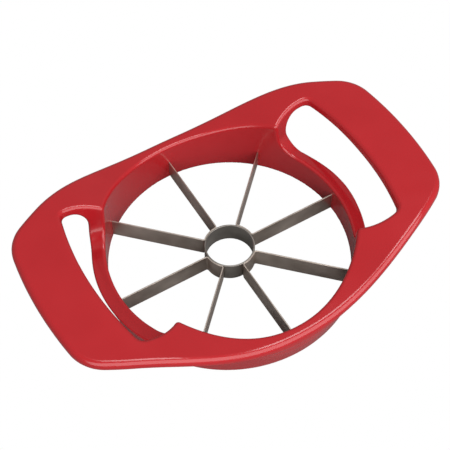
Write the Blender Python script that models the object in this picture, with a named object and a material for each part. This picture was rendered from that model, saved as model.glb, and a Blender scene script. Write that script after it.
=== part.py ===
"""Push-down apple slicer and corer.

One moulded plastic frame carries a steel core ring and four folded steel strips. Every strip makes two
neighbouring blades and hugs the core ring between them. Nothing on the tool moves.

World frame: origin on the flat underside at the centre of the round opening, +X along the two handles,
+Z up, away from the cutting edges. The driving sizes below are in millimetres.
"""
import math

import bmesh
import bpy

MM = 0.001

# ---- plastic frame: the round wall that holds the blades ----
BORE_RADIUS = 51.0
WALL_SHOULDER = 5.0        # wall thickness at its top
WALL_ROUND = 1.0           # rounding of the shoulder
FOOT_ROUND = 0.5           # rounding where the wall stands
SHOULDER_BAND = 0.2        # upright band between the leaning outside and the rounding
SEAT_COVER = 0.8           # plastic left outside each blade seat at the foot
BRIDGE_COVER = 3.5         # plastic above the blade seats where the wall bridges past a slot
BRIDGE_LIFT = 2.7          # how much higher the bridge is at its two ends
BRIDGE_BLEND = 5.5         # degrees over which each end turns up into the plate

# ---- plastic frame: outline seen from above ----
SIDE_LEDGE = 0.2           # plate beyond the shoulder, half way along each long side
SLOT_WIDTH = 7.1           # from the bridge to the grip, on the long axis
GRIP_WIDTH = 21.9          # from the slot to the tip, on the long axis
SIDE_RADIUS = 150.0        # gentle bow of each long side
END_RADIUS = 162.0         # gentle bow of each handle end
CORNER_RADIUS = 17.0       # four soft corners

# ---- plastic frame: the saddle-shaped plate ----
MIDDLE_HEIGHT = 19.9       # top of the plate half way along
HANDLE_HEIGHT = 35.2       # top of the plate at the handles
HANDLE_FLAT = 19.6         # level part of each handle, on the long axis
RISE_EASE = 1.24           # above 1 keeps the low middle flatter
PLATE_THICKNESS = 4.3
EDGE_ROUND = 1.3           # rounding of the outer rim

# ---- plastic frame: finger slots ----
GRIP_RADIUS = 132.0        # bow of the grip's inner edge
SLOT_HALF_SPAN = 34.2      # half the slot's span across the tool
SLOT_END_INSET = 9.6       # the slot is widest this far in from the grip
SLOT_END_RADIUS = 20.0
SLOT_CORNER_RADIUS = 4.0

# ---- steel ----
CORE_RADIUS = 10.5         # outside of the core ring
CORE_WALL = 0.6
STRIP_THICKNESS = 0.5
BLADE_BOTTOM = 0.3
BLADE_TOP = 9.8
SEAT_DEPTH = 0.9           # how far every blade end reaches into the plastic wall
BEND_RADIUS = 1.2          # fold where a blade leaves the core ring
CLEARANCE = 0.3            # gap kept between neighbouring pieces

# ---- sizes that follow ----
WALL_OUTSIDE = BORE_RADIUS + WALL_SHOULDER
WALL_FOOT = BORE_RADIUS + SEAT_DEPTH + CLEARANCE + SEAT_COVER
BRIDGE_HEIGHT = BLADE_TOP + BRIDGE_COVER
GRIP_INNER = WALL_OUTSIDE + SLOT_WIDTH
HALF_LENGTH = GRIP_INNER + GRIP_WIDTH
HALF_WIDTH = WALL_OUTSIDE + SIDE_LEDGE
RISE_LENGTH = HALF_LENGTH - HANDLE_FLAT
SLOT_END = (GRIP_INNER - SLOT_END_INSET, SLOT_HALF_SPAN - SLOT_END_RADIUS)

OVERLAP = 2.0              # how far a cutter or an unfinished body runs past the shape it makes
BORE_STEPS = 96            # flats round the opening
CORE_STEPS = 72            # flats round the core ring


def clear_scene():
    for obj in list(bpy.data.objects):
        bpy.data.objects.remove(obj, do_unlink=True)


def add_material(name, color, metallic, roughness):
    mat = bpy.data.materials.new(name)
    mat.use_nodes = True
    shader = mat.node_tree.nodes["Principled BSDF"]
    shader.inputs["Base Color"].default_value = (*color, 1.0)
    shader.inputs["Metallic"].default_value = metallic
    shader.inputs["Roughness"].default_value = roughness
    return mat


def add_object(name, bm, mat=None):
    """Turn a bmesh drawn in millimetres into a named object in metres."""
    bmesh.ops.remove_doubles(bm, verts=bm.verts, dist=0.00005)
    bmesh.ops.scale(bm, vec=(MM, MM, MM), verts=bm.verts)
    bmesh.ops.recalc_face_normals(bm, faces=bm.faces)
    mesh = bpy.data.meshes.new(name)
    bm.to_mesh(mesh)
    bm.free()
    obj = bpy.data.objects.new(name, mesh)
    bpy.context.collection.objects.link(obj)
    if mat:
        mesh.materials.append(mat)
    return obj


def add_boolean(obj, helper, operation):
    """Hide the helper body and let it shape obj."""
    helper.hide_render = True
    helper.display_type = 'WIRE'
    mod = obj.modifiers.new(helper.name, 'BOOLEAN')
    mod.operation = operation
    mod.solver = 'EXACT'
    mod.object = helper


def arc(center, radius, start, end, steps):
    """Points along a circular arc, both ends included; angles in radians."""
    angles = [start + (end - start) * i / steps for i in range(steps + 1)]
    return [(center[0] + radius * math.cos(a), center[1] + radius * math.sin(a)) for a in angles]


def circles_meet(c0, r0, c1, r1):
    """Both points where two circles cross."""
    dx, dy = c1[0] - c0[0], c1[1] - c0[1]
    dist = math.hypot(dx, dy)
    along = (r0 * r0 - r1 * r1 + dist * dist) / (2.0 * dist)
    across = math.sqrt(r0 * r0 - along * along)
    mx, my = c0[0] + dx * along / dist, c0[1] + dy * along / dist
    return [(mx + s * dy * across / dist, my - s * dx * across / dist) for s in (1, -1)]


def bearing(start, end):
    return math.atan2(end[1] - start[1], end[0] - start[0])


def outline_quarter(inset):
    """Outer edge from the middle of the far side to the tip of the right handle."""
    side = (0.0, HALF_WIDTH - SIDE_RADIUS)
    tip = (HALF_LENGTH - END_RADIUS, 0.0)
    meets = circles_meet(side, SIDE_RADIUS - CORNER_RADIUS, tip, END_RADIUS - CORNER_RADIUS)
    corner = max(meets, key=lambda p: p[0] + p[1])
    turn_in, turn_out = bearing(side, corner), bearing(tip, corner)
    points = arc(side, SIDE_RADIUS - inset, math.pi / 2, turn_in, 16)
    points += arc(corner, CORNER_RADIUS - inset, turn_in, turn_out, 12)[1:]
    points += arc(tip, END_RADIUS - inset, turn_out, 0.0, 3)[1:]
    return points


def slot_end_crosses(radius):
    """Where the far end of a slot crosses a circle round the opening's axis."""
    return max(circles_meet((0.0, 0.0), radius, SLOT_END, SLOT_END_RADIUS), key=lambda p: p[1])


def slot_half():
    """Slot edge from inside the round opening to the middle of the grip, far half."""
    grip = (GRIP_INNER - GRIP_RADIUS, 0.0)
    reach = SLOT_END_RADIUS - SLOT_CORNER_RADIUS
    meets = circles_meet(SLOT_END, reach, grip, GRIP_RADIUS - SLOT_CORNER_RADIUS)
    corner = max(meets, key=lambda p: p[1])
    turn_in, turn_out = bearing(SLOT_END, corner), bearing(grip, corner)
    start = bearing(SLOT_END, slot_end_crosses(BORE_RADIUS - OVERLAP))
    points = arc(SLOT_END, SLOT_END_RADIUS, start, turn_in, 12)
    points += arc(corner, SLOT_CORNER_RADIUS, turn_in, turn_out, 6)[1:]
    points += arc(grip, GRIP_RADIUS, turn_out, 0.0, 8)[1:]
    return points


def plate_height(x):
    """Top of the saddle: low in the middle, level on the handles."""
    share = min(abs(x) / RISE_LENGTH, 1.0) ** RISE_EASE
    return MIDDLE_HEIGHT + (HANDLE_HEIGHT - MIDDLE_HEIGHT) * (0.5 - 0.5 * math.cos(math.pi * share))


def bridge_end():
    """Degrees from the long axis where the bridge runs into the plate."""
    return math.degrees(bearing((0.0, 0.0), slot_end_crosses(WALL_OUTSIDE)))


def wall_height(off_axis):
    """Top of the round wall: a low bridge beside each handle, inside the plate elsewhere."""
    end = bridge_end()
    bridge = BRIDGE_HEIGHT + BRIDGE_LIFT * (off_axis / end) ** 2
    under_plate = plate_height(BORE_RADIUS * math.cos(math.radians(off_axis))) - PLATE_THICKNESS / 2
    share = min(max((off_axis - end) / BRIDGE_BLEND + 1.0, 0.0), 1.0)
    return bridge + (under_plate - bridge) * share ** 2 if share < 1.0 else under_plate


def build_plate():
    """Saddle plate as a stack of outlines, rungs running straight across the tool."""
    top = EDGE_ROUND
    layers = [(top, -PLATE_THICKNESS), (0.0, top - PLATE_THICKNESS), (0.0, -top), (0.3 * top, -0.3 * top), (top, 0.0)]
    bm = bmesh.new()
    rings = []
    for inset, lift in layers:
        quarter = outline_quarter(inset)
        chain = [(-x, y) for x, y in reversed(quarter[1:])] + quarter
        far = [bm.verts.new((x, y, plate_height(x) + lift)) for x, y in chain]
        near = [far[0]] + [bm.verts.new((v.co.x, -v.co.y, v.co.z)) for v in far[1:-1]] + [far[-1]]
        rings.append((far, near))
    count = len(rings[0][0])
    for far, near in (rings[0], rings[-1]):
        for i in range(count - 1):
            corners = dict.fromkeys((far[i], far[i + 1], near[i + 1], near[i]))
            bm.faces.new(list(corners))
    for (far_a, near_a), (far_b, near_b) in zip(rings, rings[1:]):
        for low, high in ((far_a, far_b), (near_a, near_b)):
            for i in range(count - 1):
                bm.faces.new((low[i], low[i + 1], high[i + 1], high[i]))
    return bm


def wall_columns():
    """Bearings round the opening where the wall is drawn, closest together at the bridge ends."""
    end = bridge_end()
    stops = [0.0, end - BRIDGE_BLEND, end, 90.0]
    quadrant = [0.0]
    for low, high, steps in zip(stops, stops[1:], (10, 7, 18)):
        quadrant += [low + (high - low) * (i + 1) / steps for i in range(steps)]
    half = quadrant + [180.0 - d for d in quadrant[-2::-1]]
    return half + [d + 180.0 for d in half[1:-1]]


def build_wall():
    """Round wall with a leaning outside; its inside is left oversize for the opening to be cut."""
    inner = BORE_RADIUS - OVERLAP
    bm = bmesh.new()
    columns = []
    for deg in wall_columns():
        top = wall_height(min(deg % 180.0, 180.0 - deg % 180.0))
        section = [(inner, 0.0), (WALL_FOOT - FOOT_ROUND, 0.0), (WALL_FOOT, FOOT_ROUND)]
        section += [(WALL_OUTSIDE, BRIDGE_HEIGHT - WALL_ROUND - SHOULDER_BAND)]
        section += [(WALL_OUTSIDE, top - WALL_ROUND), (WALL_OUTSIDE - WALL_ROUND, top), (inner, top)]
        c, s = math.cos(math.radians(deg)), math.sin(math.radians(deg))
        columns.append([bm.verts.new((r * c, r * s, z)) for r, z in section])
    for left, right in zip(columns, columns[1:] + columns[:1]):
        for i in range(len(left)):
            j = (i + 1) % len(left)
            bm.faces.new((left[i], right[i], right[j], left[j]))
    return bm


def extrude_outline(bm, points, low, high):
    """Upright prism over a closed outline, with its own top and bottom."""
    bottom = [bm.verts.new((x, y, low)) for x, y in points]
    top = [bm.verts.new((x, y, high)) for x, y in points]
    bm.faces.new(bottom[::-1])
    bm.faces.new(top)
    for i in range(len(points)):
        j = (i + 1) % len(points)
        bm.faces.new((bottom[i], bottom[j], top[j], top[i]))


def build_slot_cutters():
    far = slot_half()
    loop = far + [(x, -y) for x, y in reversed(far[:-1])]
    bm = bmesh.new()
    extrude_outline(bm, loop, BLADE_TOP, HANDLE_HEIGHT + OVERLAP)
    extrude_outline(bm, [(-x, -y) for x, y in loop], BLADE_TOP, HANDLE_HEIGHT + OVERLAP)
    return bm


def build_bore_cutter():
    bm = bmesh.new()
    circle = arc((0.0, 0.0), BORE_RADIUS, 0.0, math.tau, BORE_STEPS)[:-1]
    extrude_outline(bm, circle, -OVERLAP, HANDLE_HEIGHT + OVERLAP)
    return bm


def build_seat_cutters():
    """Eight narrow pockets, open at the bottom, that take the blade ends."""
    half = STRIP_THICKNESS / 2 + CLEARANCE
    near, far = BORE_RADIUS - OVERLAP - 1.0, BORE_RADIUS + SEAT_DEPTH + CLEARANCE
    bm = bmesh.new()
    for k in range(8):
        c, s = math.cos(k * math.pi / 4), math.sin(k * math.pi / 4)
        box = [(near, -half), (far, -half), (far, half), (near, half)]
        seat = [(x * c - y * s, x * s + y * c) for x, y in box]
        extrude_outline(bm, seat, -OVERLAP, BLADE_TOP + CLEARANCE)
    return bm


def build_core_ring():
    bm = bmesh.new()
    outer = arc((0.0, 0.0), CORE_RADIUS, 0.0, math.tau, CORE_STEPS)[:-1]
    inner = [(x * (1 - CORE_WALL / CORE_RADIUS), y * (1 - CORE_WALL / CORE_RADIUS)) for x, y in outer]
    rows = []
    for loop, z in ((outer, BLADE_BOTTOM), (outer, BLADE_TOP), (inner, BLADE_TOP), (inner, BLADE_BOTTOM)):
        rows.append([bm.verts.new((x, y, z)) for x, y in loop])
    for low, high in zip(rows, rows[1:] + rows[:1]):
        for i in range(len(low)):
            j = (i + 1) % len(low)
            bm.faces.new((low[i], low[j], high[j], high[i]))
    return bm


def strip_centerline():
    """Plan of one folded strip whose blades lie at 0 and 45 degrees."""
    hug = CORE_RADIUS + CLEARANCE + STRIP_THICKNESS / 2
    bend = (math.sqrt((hug + BEND_RADIUS) ** 2 - BEND_RADIUS ** 2), BEND_RADIUS)
    start = bearing((0.0, 0.0), bend)
    first = arc(bend, BEND_RADIUS, -math.pi / 2, start - math.pi, 5)
    hugging = arc((0.0, 0.0), hug, start, math.pi / 4 - start, 7)
    half = [(BORE_RADIUS + SEAT_DEPTH, 0.0)] + first
    mirrored = [mirror_in_22(p) for p in reversed(half)]
    return half + hugging[1:-1] + mirrored


def mirror_in_22(point):
    """Reflect a point in the line at 22.5 degrees."""
    c, s = math.cos(math.pi / 4), math.sin(math.pi / 4)
    return (point[0] * c + point[1] * s, point[0] * s - point[1] * c)


def thicken(points, thickness):
    """Closed outline at half the thickness either side of an open line."""
    left, right = [], []
    for i, (x, y) in enumerate(points):
        before, after = points[max(i - 1, 0)], points[min(i + 1, len(points) - 1)]
        into = bearing(before, (x, y)) if i else bearing((x, y), after)
        away = bearing((x, y), after) if i < len(points) - 1 else into
        turn = math.remainder(away - into, math.tau)
        mid = into + turn / 2 + math.pi / 2
        reach = thickness / 2 / math.cos(turn / 2)
        left.append((x + reach * math.cos(mid), y + reach * math.sin(mid)))
        right.append((x - reach * math.cos(mid), y - reach * math.sin(mid)))
    return left + right[::-1]


def build_strip(turn):
    c, s = math.cos(turn), math.sin(turn)
    outline = thicken(strip_centerline(), STRIP_THICKNESS)
    bm = bmesh.new()
    extrude_outline(bm, [(x * c - y * s, x * s + y * c) for x, y in outline], BLADE_BOTTOM, BLADE_TOP)
    return bm


def main():
    clear_scene()
    plastic = add_material("red moulded plastic", (0.48, 0.02, 0.02), 0.0, 0.25)
    steel = add_material("stainless strip steel", (0.42, 0.40, 0.38), 1.0, 0.35)
    ring_steel = add_material("stainless tube steel", (0.45, 0.43, 0.41), 1.0, 0.30)

    frame = add_object("frame", build_plate(), plastic)
    add_boolean(frame, add_object("cut_finger_slots", build_slot_cutters()), 'DIFFERENCE')
    add_boolean(frame, add_object("join_round_wall", build_wall()), 'UNION')
    add_boolean(frame, add_object("cut_blade_seats", build_seat_cutters()), 'DIFFERENCE')
    add_boolean(frame, add_object("cut_round_opening", build_bore_cutter()), 'DIFFERENCE')

    add_object("core_ring", build_core_ring(), ring_steel)
    for index in range(4):
        add_object(f"blade_strip_{index + 1}", build_strip(index * math.pi / 2), steel)


main()
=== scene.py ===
"""Looks of a push-down apple slicer and corer.

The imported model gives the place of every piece. The moulded frame, the core ring and the four folded
blade strips are drawn again here with their fine edges: the frame as one smooth closed skin, the steel
as thin sheet with ground cutting edges. Shapes below are worked out in millimetres.
"""
import math
from itertools import product

import bmesh
import bpy
import numpy as np
from mathutils import Matrix, Vector


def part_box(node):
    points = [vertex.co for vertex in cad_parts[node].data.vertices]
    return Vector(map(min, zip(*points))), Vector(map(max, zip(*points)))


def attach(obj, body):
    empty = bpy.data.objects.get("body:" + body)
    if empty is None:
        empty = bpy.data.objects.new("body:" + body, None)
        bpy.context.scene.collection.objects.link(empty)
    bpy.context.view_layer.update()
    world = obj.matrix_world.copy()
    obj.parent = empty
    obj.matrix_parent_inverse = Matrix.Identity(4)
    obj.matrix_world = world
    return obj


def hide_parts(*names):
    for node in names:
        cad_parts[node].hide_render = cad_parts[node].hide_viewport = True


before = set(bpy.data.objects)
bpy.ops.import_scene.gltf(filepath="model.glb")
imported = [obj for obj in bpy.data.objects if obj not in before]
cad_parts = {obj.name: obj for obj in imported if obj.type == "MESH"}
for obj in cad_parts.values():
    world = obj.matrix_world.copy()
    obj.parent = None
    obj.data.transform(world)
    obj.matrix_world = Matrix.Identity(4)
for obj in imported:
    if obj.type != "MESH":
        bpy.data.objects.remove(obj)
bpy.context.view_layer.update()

MM = 0.001
BODY = "root"

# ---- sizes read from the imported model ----
FRAME_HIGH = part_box("frame")[1] / MM
RING_LOW, RING_HIGH = (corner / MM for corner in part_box("core_ring"))
HALF_LENGTH = FRAME_HIGH.x
HALF_WIDTH = FRAME_HIGH.y
HANDLE_TOP = FRAME_HIGH.z
CORE_RADIUS = RING_HIGH.x
BLADE_BOTTOM = RING_LOW.z
BLADE_TOP = RING_HIGH.z

# ---- moulded frame: outline seen from above ----
SIDE_RADIUS = 150.0        # gentle bow of each long side
END_RADIUS = 162.0         # gentle bow of each handle end
CORNER_RADIUS = 17.0

# ---- moulded frame: saddle-shaped plate ----
MIDDLE_TOP = 20.7          # crest of the saddle half way along
CROWN = 1.04               # how far the plate falls from its crest to its long sides
LEVEL_END = 19.6           # level part of each handle, on the long axis
RISE_EASE = 1.24           # above 1, the rise starts more gently and is steeper near its end
PLATE_THICKNESS = 4.3
UPPER_RIM_ROUND = 2.4      # rounds of the plate's outer edge
LOWER_RIM_ROUND = 1.1

# ---- moulded frame: round wall ----
BORE_RADIUS = 51.0
FOOT_RADIUS = 52.9         # outside of the wall where it stands
WALL_LEAN = 0.258          # how fast the outside leans out on its way up
LEAN_TOP = 16.0            # height where it is upright again
LEAN_EASE = 2.0            # softness of that change
FOOT_ROUND = 0.9
WALL_OVERLAP = 0.6         # how far the wall reaches up into the plate
UNDER_FILLET = 6.0         # soft corner below the plate, round the finger slots
SIDE_FILLET = 2.0          # the same corner along the long sides
SIDE_FILLET_FROM = 40.0    # how far out from the long axis it has become that small
FILLET_CHANGE = 6.0        # the width over which it changes
BRIDGE_THICKENING = 1.3    # extra wall on the long axis, fading towards the sides
BORE_ROUND = 1.4           # round at the top of the opening
BORE_FOOT_ROUND = 0.35     # and at its foot
BORE_ROUND_RATE = 0.16     # how fast the round grows with height

# ---- moulded frame: finger slots and the bridges below them ----
GRIP_INNER = 63.1          # inner edge of the grip, on the long axis
GRIP_RADIUS = 132.0        # bow of that edge
SLOT_END = (53.5, 14.2)    # middle of the slot's round end
SLOT_END_RADIUS = 20.0
SLOT_CORNER_RADIUS = 4.0   # corner between the round end and the grip
SLOT_DRAFT = 0.16          # the slot narrows by this share of its depth
SLOT_ROUND = 1.5           # edge of the slot in the plate
BRIDGE_ROUND = 1.0         # edge of the slot where it runs along the bridge
ROUND_CHANGE = 4.0         # height over which one edge round grows into the other
BRIDGE_HEIGHT = 13.3
BRIDGE_LIFT = 1.6          # how much higher the bridge is at its ends
BRIDGE_SLOPE = 0.28        # the bridge falls away from the opening at this rate
BRIDGE_END = 35.5          # degrees from the long axis
BRIDGE_FILLET = 7.0        # sweep from the bridge up to the plate

# ---- steel ----
STRIP_THICKNESS = 0.5
CORE_WALL = 0.6
BEND_RADIUS = 0.8          # bend where a blade leaves the ring, at the middle of the sheet
SEAT_DEPTH = 0.8           # how deep a blade's end sits in the wall
GROUND_EDGE = 1.3          # height of the ground cutting edge
INNER_GRIND = 0.3          # the same on the inside of the ring
EDGE_THICKNESS = 0.14      # what is left of the sheet at that edge
EDGE_INSET = 0.15          # the ring's cutting edge from the inside of the ring
EDGE_BREAK = 0.06          # bevel along the upper edges
SHARP_FROM = 28.0          # degrees between faces that meet in a crisp edge
BLADE_STEPS, BEND_STEPS, HUG_STEPS, RING_STEPS = 12, 8, 14, 144

SKIN_PITCH = 0.5           # spacing of the frame's skin
PLATE_STEP = 0.1           # stretch over which the plate's own rise is taken
SLOPE_STEP = 0.02          # half the stretch over which a field's slope is taken
LEAST_SLOPE = 0.2          # keeps a point from leaping where the field is almost flat
FIRST_ROUNDS = 3           # slides onto the surface before the points are evened out
EVEN_ROUNDS = 4            # times the points are evened out
LATER_ROUNDS = 2           # slides onto the surface after each of these


# ------------------------------------------------------------------ plan curves

def circles_meet(c0, r0, c1, r1):
    """Both points where two circles cross."""
    dx, dy = c1[0] - c0[0], c1[1] - c0[1]
    dist = math.hypot(dx, dy)
    along = (r0 * r0 - r1 * r1 + dist * dist) / (2.0 * dist)
    across = math.sqrt(r0 * r0 - along * along)
    mx, my = c0[0] + dx * along / dist, c0[1] + dy * along / dist
    return [(mx + s * dy * across / dist, my - s * dx * across / dist) for s in (1, -1)]


def arc(center, radius, start, end, steps):
    """Points along a circular arc, both ends included; angles in radians."""
    angles = [start + (end - start) * i / steps for i in range(steps + 1)]
    return [(center[0] + radius * math.cos(a), center[1] + radius * math.sin(a)) for a in angles]


def bearing(start, end):
    """Direction from one point to another, in radians."""
    return math.atan2(end[1] - start[1], end[0] - start[0])


# ------------------------------------------------------------------ distance fields of the frame
# A field is close to a distance in millimetres: negative inside the material, zero on its surface.

def cut_round(a, b, radius):
    """Material common to both fields, with the edge between them rounded."""
    corner = np.hypot(np.maximum(a + radius, 0.0), np.maximum(b + radius, 0.0))
    return np.minimum(np.maximum(a, b), -radius) + corner


def join_round(a, b, radius):
    """Material of both fields, with a fillet where they meet."""
    corner = np.hypot(np.maximum(radius - a, 0.0), np.maximum(radius - b, 0.0))
    return np.maximum(np.minimum(a, b), radius) - corner


def turned_left(origin, toward, x, y):
    """Positive where a point lies to the left of the line from origin toward another point."""
    return (toward[0] - origin[0]) * (y - origin[1]) - (toward[1] - origin[1]) * (x - origin[0])


def two_arcs(x, y, field_a, center_a, field_b, center_b, corner, radius):
    """Plan field of two arcs joined by a corner arc."""
    past_a = turned_left(center_a, corner, x, y) < 0
    before_b = turned_left(center_b, corner, x, y) > 0
    by_corner = np.hypot(x - corner[0], y - corner[1]) - radius
    return np.where(past_a & before_b, by_corner, np.maximum(field_a, field_b))


def outline_field(x, y):
    """Outer edge of the plate."""
    side, tip = (0.0, HALF_WIDTH - SIDE_RADIUS), (HALF_LENGTH - END_RADIUS, 0.0)
    meets = circles_meet(side, SIDE_RADIUS - CORNER_RADIUS, tip, END_RADIUS - CORNER_RADIUS)
    corner = max(meets, key=lambda p: p[0] + p[1])
    by_side = np.hypot(x - side[0], y - side[1]) - SIDE_RADIUS
    by_tip = np.hypot(x - tip[0], y - tip[1]) - END_RADIUS
    return two_arcs(x, y, by_side, side, by_tip, tip, corner, CORNER_RADIUS)


def slot_field(x, y):
    """Plan of one finger slot: round ends, and the bowed inner edge of the grip."""
    grip = (GRIP_INNER - GRIP_RADIUS, 0.0)
    reach = SLOT_END_RADIUS - SLOT_CORNER_RADIUS
    meets = circles_meet(SLOT_END, reach, grip, GRIP_RADIUS - SLOT_CORNER_RADIUS)
    corner = max(meets, key=lambda p: p[1])
    by_end = np.hypot(x - SLOT_END[0], np.maximum(y - SLOT_END[1], 0.0)) - SLOT_END_RADIUS
    by_grip = np.hypot(x - grip[0], y - grip[1]) - GRIP_RADIUS
    return two_arcs(x, y, by_end, SLOT_END, by_grip, grip, corner, SLOT_CORNER_RADIUS)


def plate_top(x, y):
    """Height of the saddle's upper face."""
    share = np.minimum(x / (HALF_LENGTH - LEVEL_END), 1.0) ** RISE_EASE
    level = MIDDLE_TOP + (HANDLE_TOP - MIDDLE_TOP) * (0.5 - 0.5 * np.cos(np.pi * share))
    return level - CROWN * (y / HALF_WIDTH) ** 2


def frame_field(points):
    """The whole moulded frame."""
    x, y, z = np.abs(points[:, 0]), np.abs(points[:, 1]), points[:, 2]
    radius = np.hypot(x, y)
    rise = (plate_top(x + PLATE_STEP, y) - plate_top(x, y)) / PLATE_STEP
    top = (z - plate_top(x, y)) / np.sqrt(1.0 + rise ** 2)

    plate = np.maximum(top, -top - PLATE_THICKNESS)
    below = LEAN_TOP - z
    lean = WALL_LEAN * (below + np.hypot(below, LEAN_EASE)) / 2.0
    thicker = BRIDGE_THICKENING * (x / np.maximum(radius, 1.0)) ** 2
    wall_outside = radius - (FOOT_RADIUS + thicker + WALL_LEAN * LEAN_TOP) + lean
    wall_end = top + PLATE_THICKNESS - WALL_OVERLAP
    wall = np.maximum(cut_round(wall_outside, -z, FOOT_ROUND), wall_end)
    near_slot = np.clip((SIDE_FILLET_FROM - y) / FILLET_CHANGE, 0.0, 1.0)
    fillet = SIDE_FILLET + (UNDER_FILLET - SIDE_FILLET) * near_slot
    rim = outline_field(x, y)
    body = cut_round(join_round(plate, wall, fillet), rim, LOWER_RIM_ROUND)
    body = np.maximum(body, cut_round(top, rim, UPPER_RIM_ROUND))

    off_axis = np.degrees(np.arctan2(y, np.maximum(x, 1.0)))
    bridge_top = BRIDGE_HEIGHT + BRIDGE_LIFT * (off_axis / BRIDGE_END) ** 2
    bridge_top = bridge_top - BRIDGE_SLOPE * (radius - BORE_RADIUS)
    slot = cut_round(slot_field(x, y) - SLOT_DRAFT * top, bridge_top - z, BRIDGE_FILLET)
    on_plate = np.clip((z - BRIDGE_HEIGHT - BRIDGE_LIFT) / ROUND_CHANGE, 0.0, 1.0)
    body = cut_round(body, -slot, BRIDGE_ROUND + (SLOT_ROUND - BRIDGE_ROUND) * on_plate)
    bore_round = np.clip(BORE_ROUND_RATE * z, BORE_FOOT_ROUND, BORE_ROUND)
    return cut_round(body, BORE_RADIUS - radius, bore_round)


# ------------------------------------------------------------------ skin over a field

def slope_of(field, points):
    """Direction in which the field grows, at every point."""
    columns = []
    for axis in range(3):
        shift = np.zeros(3)
        shift[axis] = SLOPE_STEP
        columns.append((field(points + shift) - field(points - shift)) / (2.0 * SLOPE_STEP))
    return np.stack(columns, axis=1)


def settle(field, points, rounds):
    """Slide points along the field's slope onto the surface, in a few rounds."""
    for _ in range(rounds):
        slope = slope_of(field, points)
        steep = np.maximum((slope ** 2).sum(axis=1), LEAST_SLOPE)
        points = points - slope * (field(points) / steep)[:, None]
    return points


def even_out(points, quads):
    """Move every point half way to the middle of its neighbours."""
    total, count = np.zeros_like(points), np.zeros(len(points))
    for i in range(4):
        a, b = quads[:, i], quads[:, (i + 1) % 4]
        for here, there in ((a, b), (b, a)):
            for axis in range(3):
                total[:, axis] += np.bincount(here, points[there, axis], len(points))
            count += np.bincount(here, minlength=len(points))
    return (points + total / count[:, None]) / 2.0


def wrap_field(field, low, high, pitch):
    """Closed skin of quads round the material: one point in every mixed cell of a regular lattice."""
    axes = [np.arange(a - 1.5 * pitch, b + 2.5 * pitch, pitch) for a, b in zip(low, high)]
    lattice = np.stack(np.meshgrid(*axes, indexing="ij"), axis=-1)
    layer_shape = lattice.shape[1:3]
    inside = np.array([(field(layer.reshape(-1, 3)) < 0.0).reshape(layer_shape) for layer in lattice])
    cells = tuple(n - 1 for n in inside.shape)
    filled = np.zeros(cells, int)
    for i, j, k in product((0, 1), repeat=3):
        filled += inside[i:i + cells[0], j:j + cells[1], k:k + cells[2]]
    mixed = (filled > 0) & (filled < 8)
    number = np.full(cells, -1)
    number[mixed] = np.arange(mixed.sum())
    points = lattice[:-1, :-1, :-1][mixed] + pitch / 2.0
    quads = []
    for axis in range(3):
        order = ((axis + 1) % 3, (axis + 2) % 3, axis)
        node, cell = inside.transpose(order), number.transpose(order)
        start, stop = node[1:-1, 1:-1, :-1], node[1:-1, 1:-1, 1:]
        around = [cell[:-1, :-1], cell[1:, :-1], cell[1:, 1:], cell[:-1, 1:]]
        quads.append(np.stack([c[start & ~stop] for c in around], axis=1))
        quads.append(np.stack([c[stop & ~start] for c in reversed(around)], axis=1))
    quads = np.concatenate(quads)
    points = settle(field, points, FIRST_ROUNDS)
    for _ in range(EVEN_ROUNDS):
        points = settle(field, even_out(points, quads), LATER_ROUNDS)
    return points, quads


# ------------------------------------------------------------------ pieces

def add_piece(name, mesh, material, node):
    """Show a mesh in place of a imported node, with its finish."""
    piece = bpy.data.objects.new(name, mesh)
    bpy.context.collection.objects.link(piece)
    mesh.materials.append(material)
    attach(piece, BODY)
    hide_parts(node)


def build_frame():
    """One smooth skin, shaded by the direction of the field's slope at every point."""
    low = (-HALF_LENGTH, -HALF_WIDTH, 0.0)
    high = (HALF_LENGTH, HALF_WIDTH, HANDLE_TOP)
    points, quads = wrap_field(frame_field, low, high, SKIN_PITCH)
    points = np.clip(points, low, high)
    slope = slope_of(frame_field, points)
    mesh = bpy.data.meshes.new("moulded_frame")
    mesh.from_pydata((points * MM).tolist(), [], quads.tolist())
    mesh.shade_smooth()
    mesh.normals_split_custom_set_from_vertices(slope / np.linalg.norm(slope, axis=1)[:, None])
    return mesh


def strip_line():
    """Plan of one folded strip whose blades lie at 0 and 45 degrees."""
    hug = CORE_RADIUS + STRIP_THICKNESS / 2
    bend = (math.sqrt((hug + BEND_RADIUS) ** 2 - BEND_RADIUS ** 2), BEND_RADIUS)
    start = bearing((0.0, 0.0), bend)
    blade_end = BORE_RADIUS + SEAT_DEPTH
    reach = bend[0] - blade_end
    straight = [(blade_end + reach * i / BLADE_STEPS, 0.0) for i in range(BLADE_STEPS)]
    half = straight + arc(bend, BEND_RADIUS, -math.pi / 2, start - math.pi, BEND_STEPS)
    hugging = arc((0.0, 0.0), hug, start, math.pi / 4 - start, HUG_STEPS)
    c, s = math.cos(math.pi / 4), math.sin(math.pi / 4)
    mirrored = [(x * c + y * s, x * s - y * c) for x, y in reversed(half)]
    return half + hugging[1:-1] + mirrored


def strip_section():
    """Section of the sheet as (sideways, height): up one side from the edge, down the other."""
    half, fine = STRIP_THICKNESS / 2, EDGE_THICKNESS / 2
    side = [(fine, BLADE_BOTTOM), (half, BLADE_BOTTOM + GROUND_EDGE)]
    side += [(half, BLADE_TOP - EDGE_BREAK), (half - EDGE_BREAK, BLADE_TOP)]
    return side + [(-across, height) for across, height in reversed(side)]


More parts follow.
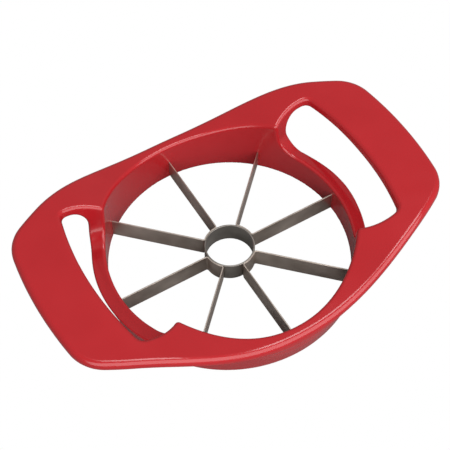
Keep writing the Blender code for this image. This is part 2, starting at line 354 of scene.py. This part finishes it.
def build_strip(turn):
    """Sheet swept along the folded line; the map runs along the strip and across it, in metres."""
    line, section = strip_line(), strip_section()
    bm = bmesh.new()
    run_map = bm.loops.layers.uv.new("along_strip")
    rows, runs, run = [], [], 0.0
    for i, (x, y) in enumerate(line):
        before, after = line[max(i - 1, 0)], line[min(i + 1, len(line) - 1)]
        heading = bearing(before, after) + math.pi / 2 + turn
        run += math.hypot(x - before[0], y - before[1])
        px, py = x * math.cos(turn) - y * math.sin(turn), x * math.sin(turn) + y * math.cos(turn)
        row = []
        for across, height in section:
            place = Vector((px + across * math.cos(heading), py + across * math.sin(heading), height))
            row.append(bm.verts.new(place * MM))
        rows.append(row)
        runs.append(run)
    count = len(section)
    for i in range(len(rows) - 1):
        for j in range(count):
            k = (j + 1) % count
            face = bm.faces.new((rows[i][j], rows[i][k], rows[i + 1][k], rows[i + 1][j]))
            heights = (section[j][1], section[k][1], section[k][1], section[j][1])
            alongs = (runs[i], runs[i], runs[i + 1], runs[i + 1])
            for loop, along, height in zip(face.loops, alongs, heights):
                loop[run_map].uv = (along * MM, height * MM)
    bm.faces.new(rows[0][::-1])
    bm.faces.new(rows[-1])
    return finish_sheet(bm, "blade_strip")


def build_core_ring():
    """Thin tube with a ground lower edge and a lightly broken upper one."""
    outer, inner = CORE_RADIUS, CORE_RADIUS - CORE_WALL
    edge, half_edge = inner + EDGE_INSET, EDGE_THICKNESS / 2
    section = [(edge - half_edge, BLADE_BOTTOM), (edge + half_edge, BLADE_BOTTOM)]
    section += [(outer, BLADE_BOTTOM + GROUND_EDGE), (outer, BLADE_TOP - EDGE_BREAK)]
    section += [(outer - EDGE_BREAK, BLADE_TOP), (inner + EDGE_BREAK, BLADE_TOP)]
    section += [(inner, BLADE_TOP - EDGE_BREAK), (inner, BLADE_BOTTOM + INNER_GRIND)]
    bm = bmesh.new()
    run_map = bm.loops.layers.uv.new("along_strip")
    rows = []
    for i in range(RING_STEPS):
        c, s = math.cos(math.tau * i / RING_STEPS), math.sin(math.tau * i / RING_STEPS)
        rows.append([bm.verts.new(Vector((r * c, r * s, z)) * MM) for r, z in section])
    for i in range(RING_STEPS):
        left, right = rows[i], rows[(i + 1) % RING_STEPS]
        runs = [math.tau * outer * MM * (i + step) / RING_STEPS for step in (0, 1, 1, 0)]
        for j in range(len(section)):
            k = (j + 1) % len(section)
            face = bm.faces.new((left[j], right[j], right[k], left[k]))
            heights = [section[n][1] * MM for n in (j, j, k, k)]
            for loop, along, height in zip(face.loops, runs, heights):
                loop[run_map].uv = (along, height)
    return finish_sheet(bm, "core_ring")


def finish_sheet(bm, name):
    """Mesh of a sheet piece: smooth round its bends, crisp at its ground and broken edges."""
    bmesh.ops.recalc_face_normals(bm, faces=bm.faces)
    mesh = bpy.data.meshes.new(name)
    bm.to_mesh(mesh)
    bm.free()
    mesh.shade_smooth()
    mesh.set_sharp_from_angle(angle=math.radians(SHARP_FROM))
    return mesh


# ------------------------------------------------------------------ materials

def linear(hex_color):
    """Linear RGBA of an sRGB hex colour."""
    parts = [int(hex_color[i:i + 2], 16) / 255.0 for i in (1, 3, 5)]
    return tuple(c / 12.92 if c <= 0.04045 else ((c + 0.055) / 1.055) ** 2.4 for c in parts) + (1.0,)


def add_node(tree, kind, settings=None, inputs=None, links=None):
    """New node with its settings, the values of its inputs, and what feeds its other inputs."""
    node = tree.nodes.new(kind)
    for key, value in (settings or {}).items():
        setattr(node, key, value)
    for key, value in (inputs or {}).items():
        node.inputs[key].default_value = value
    for key, source in (links or {}).items():
        tree.links.new(source, node.inputs[key])
    return node


def new_material(name):
    """New material with its node tree and its main shader."""
    mat = bpy.data.materials.new(name)
    mat.use_nodes = True
    return mat, mat.node_tree, mat.node_tree.nodes["Principled BSDF"]


def polished_red_abs():
    """ABS moulded in a polished tool: a deep even red under a wet-looking gloss, with the faint long
    waviness that a thick moulding takes as it cools, and a slight haze from handling."""
    mat, tree, shader = new_material("polished_red_abs")
    place = add_node(tree, "ShaderNodeTexCoord").outputs["Object"]
    # sink marks and cooling waviness are about 14 mm from crest to crest
    wave = add_node(tree, "ShaderNodeTexNoise", inputs={"Scale": 1000.0 / 14.0, "Detail": 1.0},
                    links={"Vector": place})
    # rubbed patches about 9 mm across, with soft edges
    haze = add_node(tree, "ShaderNodeTexNoise", inputs={"Scale": 1000.0 / 9.0, "Detail": 0.5},
                    links={"Vector": place})
    gloss = add_node(tree, "ShaderNodeMapRange",
                     inputs={"From Min": 0.3, "From Max": 0.75, "To Min": 0.14, "To Max": 0.20},
                     links={"Value": haze.outputs["Fac"]})
    red = add_node(tree, "ShaderNodeValToRGB", links={"Fac": wave.outputs["Fac"]})
    red.color_ramp.elements[0].color = linear("#A3191F")
    red.color_ramp.elements[1].color = linear("#AB1E24")
    bump = add_node(tree, "ShaderNodeBump", inputs={"Strength": 0.12, "Distance": 0.0003},
                    links={"Height": wave.outputs["Fac"]})
    tree.links.new(red.outputs["Color"], shader.inputs["Base Color"])
    tree.links.new(gloss.outputs["Result"], shader.inputs["Roughness"])
    tree.links.new(bump.outputs["Normal"], shader.inputs["Normal"])
    shader.inputs["IOR"].default_value = 1.54
    return mat


def rolled_steel(name, dark, light, roughness):
    """Cold-rolled stainless sheet: satin grey with fine rolling lines along it."""
    mat, tree, shader = new_material(name)
    run = add_node(tree, "ShaderNodeUVMap", settings={"uv_map": "along_strip"}).outputs["UV"]
    # rolling lines are about 0.05 mm apart; drawn 0.4 mm apart and 12 mm long so that they show
    lines = add_node(tree, "ShaderNodeMapping", inputs={"Scale": (1000.0 / 12.0, 1000.0 / 0.4, 1.0)},
                     links={"Vector": run})
    grain = add_node(tree, "ShaderNodeTexNoise", inputs={"Scale": 1.0, "Detail": 1.0},
                     links={"Vector": lines.outputs["Vector"]})
    # slow change of tone along the sheet, over about 15 mm
    tone = add_node(tree, "ShaderNodeTexNoise", inputs={"Scale": 1000.0 / 15.0, "Detail": 2.0},
                    links={"Vector": run})
    both = add_node(tree, "ShaderNodeMath", settings={"operation": "MULTIPLY_ADD"}, inputs={1: 0.15},
                    links={0: grain.outputs["Fac"], 2: tone.outputs["Fac"]})
    color = add_node(tree, "ShaderNodeValToRGB", links={"Fac": both.outputs["Value"]})
    color.color_ramp.elements[0].position = 0.42
    color.color_ramp.elements[0].color = linear(dark)
    color.color_ramp.elements[1].position = 0.74
    color.color_ramp.elements[1].color = linear(light)
    sheen = add_node(tree, "ShaderNodeMapRange",
                     inputs={"From Min": 0.3, "From Max": 0.7,
                             "To Min": roughness - 0.02, "To Max": roughness + 0.04},
                     links={"Value": grain.outputs["Fac"]})
    bump = add_node(tree, "ShaderNodeBump", inputs={"Strength": 0.05, "Distance": 0.00005},
                    links={"Height": grain.outputs["Fac"]})
    tree.links.new(color.outputs["Color"], shader.inputs["Base Color"])
    tree.links.new(sheen.outputs["Result"], shader.inputs["Roughness"])
    tree.links.new(bump.outputs["Normal"], shader.inputs["Normal"])
    shader.inputs["Metallic"].default_value = 1.0
    return mat


# ------------------------------------------------------------------ studio

FLOOR_GLOW = 0.21          # share of the light that the floor throws back at the object
FLOOR_GAP = 0.0004         # how far the floor lies below the wall's foot, in metres
SKY_GLOW = 0.32            # strength of the even light from all round


def only_seen_white(tree, output, plain):
    """Pure white to the eye, while the object is lit by the plain shader."""
    path = add_node(tree, "ShaderNodeLightPath")
    white = add_node(tree, "ShaderNodeEmission", inputs={"Color": (1.0, 1.0, 1.0, 1.0), "Strength": 1.0})
    mix = add_node(tree, "ShaderNodeMixShader",
                   links={0: path.outputs["Is Camera Ray"], 1: plain, 2: white.outputs[0]})
    tree.links.new(mix.outputs[0], output.inputs["Surface"])


def add_floor():
    """Plain pale paper below the object."""
    bm = bmesh.new()
    bmesh.ops.create_grid(bm, x_segments=2, y_segments=2, size=4.0)
    mesh = bpy.data.meshes.new("pale_floor")
    bm.to_mesh(mesh)
    bm.free()
    floor = bpy.data.objects.new("pale_floor", mesh)
    floor.location.z = -FLOOR_GAP
    bpy.context.collection.objects.link(floor)
    mat, tree, shader = new_material("pale_paper")
    shader.inputs["Base Color"].default_value = (FLOOR_GLOW, FLOOR_GLOW, FLOOR_GLOW, 1.0)
    shader.inputs["Roughness"].default_value = 0.9
    only_seen_white(tree, tree.nodes["Material Output"], shader.outputs[0])
    mesh.materials.append(mat)


def add_sky():
    """Even soft light from all round."""
    world = bpy.data.worlds.new("soft_studio")
    world.use_nodes = True
    bpy.context.scene.world = world
    tree = world.node_tree
    glow = tree.nodes["Background"]
    glow.inputs["Color"].default_value = (1.0, 0.985, 0.97, 1.0)
    glow.inputs["Strength"].default_value = SKY_GLOW
    only_seen_white(tree, tree.nodes["World Output"], glow.outputs[0])


def add_softbox(name, place, size, watts):
    """Rectangular soft light that faces the object, with its first side along the long axis."""
    data = bpy.data.lights.new(name, "AREA")
    data.shape = "RECTANGLE"
    data.size, data.size_y = size
    data.energy = watts
    lamp = bpy.data.objects.new(name, data)
    back = Vector(place).normalized()
    up = back.cross(Vector((1.0, 0.0, 0.0))).normalized()
    lamp.rotation_euler = Matrix((up.cross(back), up, back)).transposed().to_euler()
    lamp.location = place
    bpy.context.collection.objects.link(lamp)


def add_camera():
    """Camera above the near left of the object, aimed at its foot."""
    azimuth, elevation, distance = math.radians(-31.07), math.radians(56.53), 0.4836
    level = math.cos(elevation)
    away = Vector((math.sin(azimuth) * level, -math.cos(azimuth) * level, math.sin(elevation)))
    data = bpy.data.cameras.new("camera")
    data.lens = 91.87
    data.shift_x, data.shift_y = -0.0104, 0.074
    data.clip_start = 0.01
    camera = bpy.data.objects.new("camera", data)
    camera.location = away * distance
    camera.rotation_euler = away.to_track_quat("Z", "Y").to_euler()
    bpy.context.collection.objects.link(camera)
    bpy.context.scene.camera = camera


# ------------------------------------------------------------------ put together

def main():
    """The object, then the studio round it."""
    bpy.context.scene.view_settings.view_transform = "Standard"
    add_piece("moulded_frame", build_frame(), polished_red_abs(), "frame")
    ring_steel = rolled_steel("rolled_tube_steel", "#948E87", "#B8B2AB", 0.34)
    strip_steel = rolled_steel("rolled_strip_steel", "#AFA297", "#DACEC3", 0.38)
    add_piece("core_tube", build_core_ring(), ring_steel, "core_ring")
    for index in range(4):
        mesh = build_strip(index * math.pi / 2)
        node = f"blade_strip_{index + 1}"
        add_piece(f"folded_blades_{index + 1}", mesh, strip_steel, node)
    add_floor()
    add_sky()
    add_softbox("overhead_softbox", place=(0.22, -0.04, 0.95), size=(0.8, 0.36), watts=5.0)
    add_softbox("front_fill", place=(-0.15, -1.40, 0.72), size=(5.0, 1.9), watts=72.0)
    add_camera()


main()
